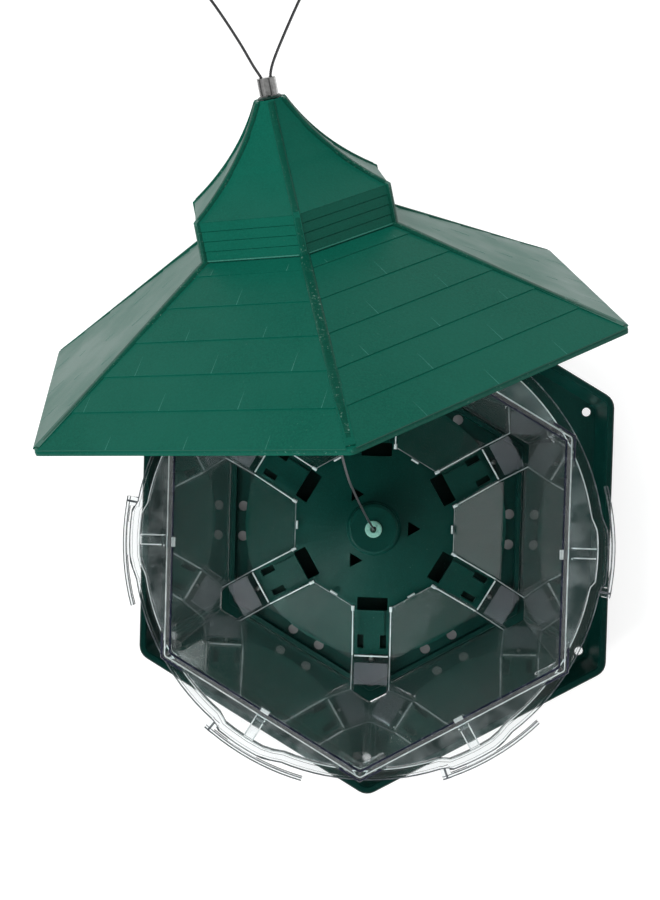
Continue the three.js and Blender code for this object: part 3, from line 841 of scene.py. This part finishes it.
def make_rim_edges():
    """The wall's two top edges: the outer one a painted highlight, the inner one a painted dark
    navy reflection.
    """
    outer = hexagon_route(RIM_APOTHEM - 0.25, HOPPER_TOP - 0.15, 1.6)
    inner = hexagon_route(RIM_APOTHEM - WALL - 0.4, HOPPER_TOP - 0.3, 0.8)
    edge_object("rim_outer_edge", [(outer, 0.30, True)], PAINTED_HIGHLIGHT)
    edge_object("rim_inner_edge", [(inner, 0.52, True)], PAINTED_NAVY_REFLECTION)
    # Corner pockets edged with painted dark navy reflections.
    pockets = []
    for corner in CORNERS:
        apothem = RIM_APOTHEM + 1.1
        tip = polar(apothem / COS30, corner, HOPPER_TOP - 0.6)
        neighbours = [polar(apothem / COS30, corner + turn, HOPPER_TOP - 0.6) for turn in (-60, 60)]
        before, after = [tip + (point - tip).normalized() * 11 for point in neighbours]
        pockets.append(([before, tip, after], 0.62, False))
    edge_object("corner_pocket_edges", pockets, PAINTED_NAVY_REFLECTION)


def arc_route(radius, start, end, z, steps):
    """Arc from `start` to `end` degrees, whose radius at an angle is radius(angle)."""
    angles = [start + (end - start) * i / steps for i in range(steps + 1)]
    return [polar(radius(a), a, z) for a in angles]


def make_ring_edges():
    """Top edges of the ring: a painted highlight inside and a painted dark reflection outside."""
    for name, radius, material in (("ring_inner_edge", RING_INNER + 0.25, PAINTED_HIGHLIGHT),
                                   ("ring_outer_edge", RING_OUTER - 0.25, PAINTED_DARK_REFLECTION)):
        route = arc_route(lambda a, r=radius: r + ring_bulge(a), 0, 359, RING_TOP - 0.15, 240)
        edge_object(name, [(route, 0.26, True)], material)


def make_tab_edges():
    """Painted dark reflections along both faces of each locking tab and on the hook at its end."""
    tabs = []
    for side in HEX:
        start, end = side + TAB_TURN - TAB_HALF_ANGLE, side + TAB_TURN + TAB_HALF_ANGLE
        for radius in (TAB_INNER + 0.2, TAB_OUTER - 0.2):
            route = arc_route(lambda a, r=radius: r, start, end, RING_TOP - 0.6, 12)
            tabs.append((route, 0.22, False))
        hook = [polar(r, start + 1.1, RING_TOP - 0.15)
                for r in (RING_OUTER, TAB_OUTER - 0.3)]
        tabs.append((hook, 0.5, False))
    edge_object("tab_edges", tabs, PAINTED_DARK_REFLECTION)


def make_strap_edges():
    """Painted highlights along the sides of the straps from the rim to the ring, and on their hooks
    inside the rim.
    """
    straps, hooks = [], []
    for side in HEX:
        for hand in (-1, 1):
            line = [turned_point(r, hand * (STRAP_HALF - 0.15), RING_TOP - 0.7, side)
                    for r in (RIM_APOTHEM + 1.6, RING_INNER + 1.6)]
            straps.append((line, 0.3, False))
        for r in (RIM_APOTHEM - WALL - 1.6, RIM_APOTHEM - WALL - 0.7):
            line = [turned_point(r, a, HOPPER_TOP + 1.7, side) for a in (-2.1, 2.1)]
            hooks.append((line, 0.45, False))
    edge_object("strap_edges", straps, PAINTED_HIGHLIGHT)
    edge_object("strap_hook_highlights", hooks, PAINTED_HIGHLIGHT)


# Radius and height along a channel wall's top, from the hub end to the bar and on to the rim.
CHANNEL_TOP = ((PANEL_INNER + 0.3, 19.7), (PANEL_INNER + 1.2, 20.3), (55, 16.6), (68, 12.9))
CHANNEL_RISE = ((68, 12.9), (80, 16.9), (86, 19.4))
BAR_R, BAR_H, BAR_HALF = 68.7, 10.5, 8.9
# The last of these is half the length of each painted glint on a panel lip.
LIP_ABOVE_CONE, LIP_SHORT, GLINT_HALF = 2.1, 11.5, 2.1


def make_channel_edges():
    """Painted highlights along the top edges of the channel walls, the bar across each one and the
    floor panels' lips, with painted glints at the walls' feet and the panels' inner edges.
    """
    cheeks, bars, lips, painted_glints = [], [], [], []
    for corner in CORNERS:
        for hand in (-1, 1):
            aside = hand * (CHANNEL_HALF + CHEEK / 2)
            top = [turned_point(r, aside, z, corner) for r, z in CHANNEL_TOP]
            cheeks.append((top, 0.32, False))
            rise = [turned_point(r, aside, z, corner) for r, z in CHANNEL_RISE]
            lips.append((rise, 0.3, False))
            # Painted glint at the foot of each channel wall.
            foot = [turned_point(PANEL_INNER + d, aside, 20.0, corner) for d in (-0.1, 2.4)]
            painted_glints.append((foot, 0.85, False))
        bar = [turned_point(BAR_R, a, BAR_H, corner) for a in (-BAR_HALF, BAR_HALF)]
        bars.append((bar, 0.42, False))
    lip_z = cone_surface(PANEL_INNER) + LIP_ABOVE_CONE
    half = PANEL_INNER * math.tan(math.radians(30)) - LIP_SHORT
    for side in HEX:
        lip = [turned_point(PANEL_INNER + 0.2, a, lip_z, side) for a in (-half, half)]
        lips.append((lip, 0.2, False))
        # Painted glint at the middle of each panel's inner lip.
        painted_glint = [turned_point(PANEL_INNER - 0.8, a, lip_z + 1.2, side)
                for a in (-GLINT_HALF, GLINT_HALF)]
        painted_glints.append((painted_glint, 0.55, False))
    edge_object("channel_wall_edges", cheeks, PAINTED_HIGHLIGHT)
    edge_object("channel_bars", bars, PAINTED_HIGHLIGHT)
    edge_object("panel_lips", lips, PAINTED_SOFT_HIGHLIGHT)
    edge_object("panel_painted_glints", painted_glints, PAINTED_HIGHLIGHT)


def make_collar_web():
    """Thin clear web between the hopper's rim and the ring, carrying painted wavy reflections."""
    steps, top, thick = 120, RING_TOP - 2.5, 0.4
    vertices, faces = [], []
    for i in range(steps):
        a = 360 * i / steps
        from_side = (a - HEX[0] + 30) % 60 - 30
        inner = (RIM_APOTHEM + 0.1) / math.cos(math.radians(from_side))
        outer = max(inner + 0.2, RING_INNER + ring_bulge(a) + 0.1)
        for r, z in ((inner, top), (outer, top), (outer, top - thick), (inner, top - thick)):
            vertices.append(polar(r, a, z))
    for i in range(steps):
        join_rings(faces, 4 * i, 4 * ((i + 1) % steps), 4)
    mesh = mesh_from("collar_web", vertices, faces)
    outward_normals(mesh)
    mesh.materials.append(PAINTED_REFLECTION_WEB)
    web = add_object("collar_web", mesh, Matrix.Translation(HUB))
    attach(web, "base")


def make_channel_plates():
    """Frosted plate at the outer end of each channel, over the feed port."""
    vertices, faces = [], []
    near, far, half = 72.6, 84.0, 8.8
    outline = [(near, -half), (far, -half), (far, half), (near, half)]
    for corner in CORNERS:
        corners = [(turned_point(r, a, 0, corner), Vector((0, 0, 1))) for r, a in outline]
        add_slab(vertices, faces, corners, 9.1, [9.7] * 4)
    mesh = mesh_from("channel_plates", vertices, faces)
    outward_normals(mesh)
    mesh.materials.append(FROSTED)
    plates = add_object("channel_plates", mesh, Matrix.Translation(HUB))
    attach(plates, "base")


make_rim_edges()
make_ring_edges()
make_tab_edges()
make_strap_edges()
make_channel_edges()
make_channel_plates()
make_collar_web()


# ------------------------------------------------------------------ carried-over CAD nodes
def finish_node(name, material, width=0.0, angle=30):
    """Gives a CAD node its material, crisp shading and softened edges."""
    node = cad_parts[name]
    node.data.materials.clear()
    node.data.materials.append(material)
    smooth_by_angle(node.data, angle)
    if width:
        bevel(node, width, 2, angle)


finish_node("base_tray", GREEN_TRAY, 0.35)
finish_node("seed_cone", GREEN_CONE, 0.2)
finish_node("hub_eyelet", PALE_GREEN, angle=60)
finish_node("cable_washer", SCREW_STEEL, 0.1)
finish_node("cable_stop", ZINC, 0.1)
for index in range(1, 7):
    finish_node(f"hopper_screw_{index}", SCREW_STEEL, 0.1)
finish_node("hopper", CLEAR, 0.3)
finish_node("lock_collar", CLEAR_COLLAR, 0.3)
finish_node("roof_skirt", GREEN, 0.2)
finish_node("roof_spire", GREEN, 0.15)
finish_node("roof_bushing", DARK, 0.1)
finish_node("top_ferrule", ZINC, 0.25)


# ------------------------------------------------------------------ studio
def make_floor():
    """Plain pale floor under the feeder."""
    half = 850
    corners = [(-half, -half, 0), (half, -half, 0), (half, half, 0), (-half, half, 0)]
    mesh = mesh_from("studio_floor", corners, [(0, 1, 2, 3)])
    mesh.materials.append(floor_paper())
    floor = add_object("studio_floor", mesh)


def area_light(name, place, size, watts):
    """Lamp aimed at the hub; it lights the pieces but isn't mirrored in them."""
    data = bpy.data.lights.new(name, "AREA")
    data.shape = "RECTANGLE"
    data.size, data.size_y = size
    data.energy = watts
    light = bpy.data.objects.new(name, data)
    light.visible_glossy = False
    bpy.context.scene.collection.objects.link(light)
    place = Vector(place)
    back = (place - HUB).normalized()
    light.matrix_world = basis(Vector((1, 0.01, 0)), back, place)


# World strengths: what lights the pieces, what is seen, and what glossy surfaces mirror.
WORLD_LIGHT, WORLD_SEEN = 0.28, 1.0
MIRRORED_DARK, MIRRORED_BRIGHT = 0.03, 0.42
BRIGHT_SIDE = (0.6, -0.8, 0.0)


def world_node(kind, **settings):
    """New node in the world's tree."""
    node = bpy.context.scene.world.node_tree.nodes.new("ShaderNode" + kind)
    for name, value in settings.items():
        setattr(node, name, value)
    return node


def world_choice(factor, otherwise, chosen):
    """`chosen` where `factor` is 1 and `otherwise` where it is 0."""
    node = world_node("Mix", data_type="FLOAT")
    links = bpy.context.scene.world.node_tree.links
    links.new(factor, node.inputs["Factor"])
    for name, value in (("A", otherwise), ("B", chosen)):
        if isinstance(value, float):
            node.inputs[name].default_value = value
        else:
            links.new(value, node.inputs[name])
    return node.outputs["Result"]


def make_world():
    """Soft surroundings: pale to look at, and mirrored as bright only from the front right."""
    world = bpy.data.worlds.new("studio_world")
    bpy.context.scene.world = world
    world.use_nodes = True
    # Only bounced rays reach the world, so that each kind of ray gets its own strength.
    world.cycles.sampling_method = "NONE"
    links = world.node_tree.links
    toward_bright = world_node("VectorMath", operation="DOT_PRODUCT")
    links.new(world_node("TexCoord").outputs["Generated"], toward_bright.inputs[0])
    toward_bright.inputs[1].default_value = BRIGHT_SIDE
    mirrored = world_node("MapRange", interpolation_type="SMOOTHSTEP")
    links.new(toward_bright.outputs["Value"], mirrored.inputs["Value"])
    for name, value in (("From Min", 0.05), ("From Max", 0.30), ("To Min", MIRRORED_DARK),
                        ("To Max", MIRRORED_BRIGHT)):
        mirrored.inputs[name].default_value = value
    mirrored = mirrored.outputs["Result"]
    path = world_node("LightPath").outputs
    through = world_choice(path["Glossy Depth"], WORLD_SEEN, mirrored)
    level = world_choice(path["Is Transmission Ray"], WORLD_LIGHT, through)
    level = world_choice(path["Is Glossy Ray"], level, mirrored)
    level = world_choice(path["Is Camera Ray"], level, WORLD_SEEN)
    background = world.node_tree.nodes["Background"]
    background.inputs["Color"].default_value = (1, 1, 1, 1)
    links.new(level, background.inputs["Strength"])


def make_lights():
    """Soft key from behind, low fill from the front left and a weak box to the right."""
    area_light("key_back", (-0.58, 1.27, 1.84), (1.3, 1.3), 35)
    area_light("front_left_fill", (-1.10, -1.10, 0.97), (0.6, 0.6), 22)
    area_light("right_softbox", (1.30, 0.30, 1.55), (1.3, 1.6), 5)
    bpy.context.scene.view_settings.view_transform = "Standard"


make_floor()
make_world()
make_lights()
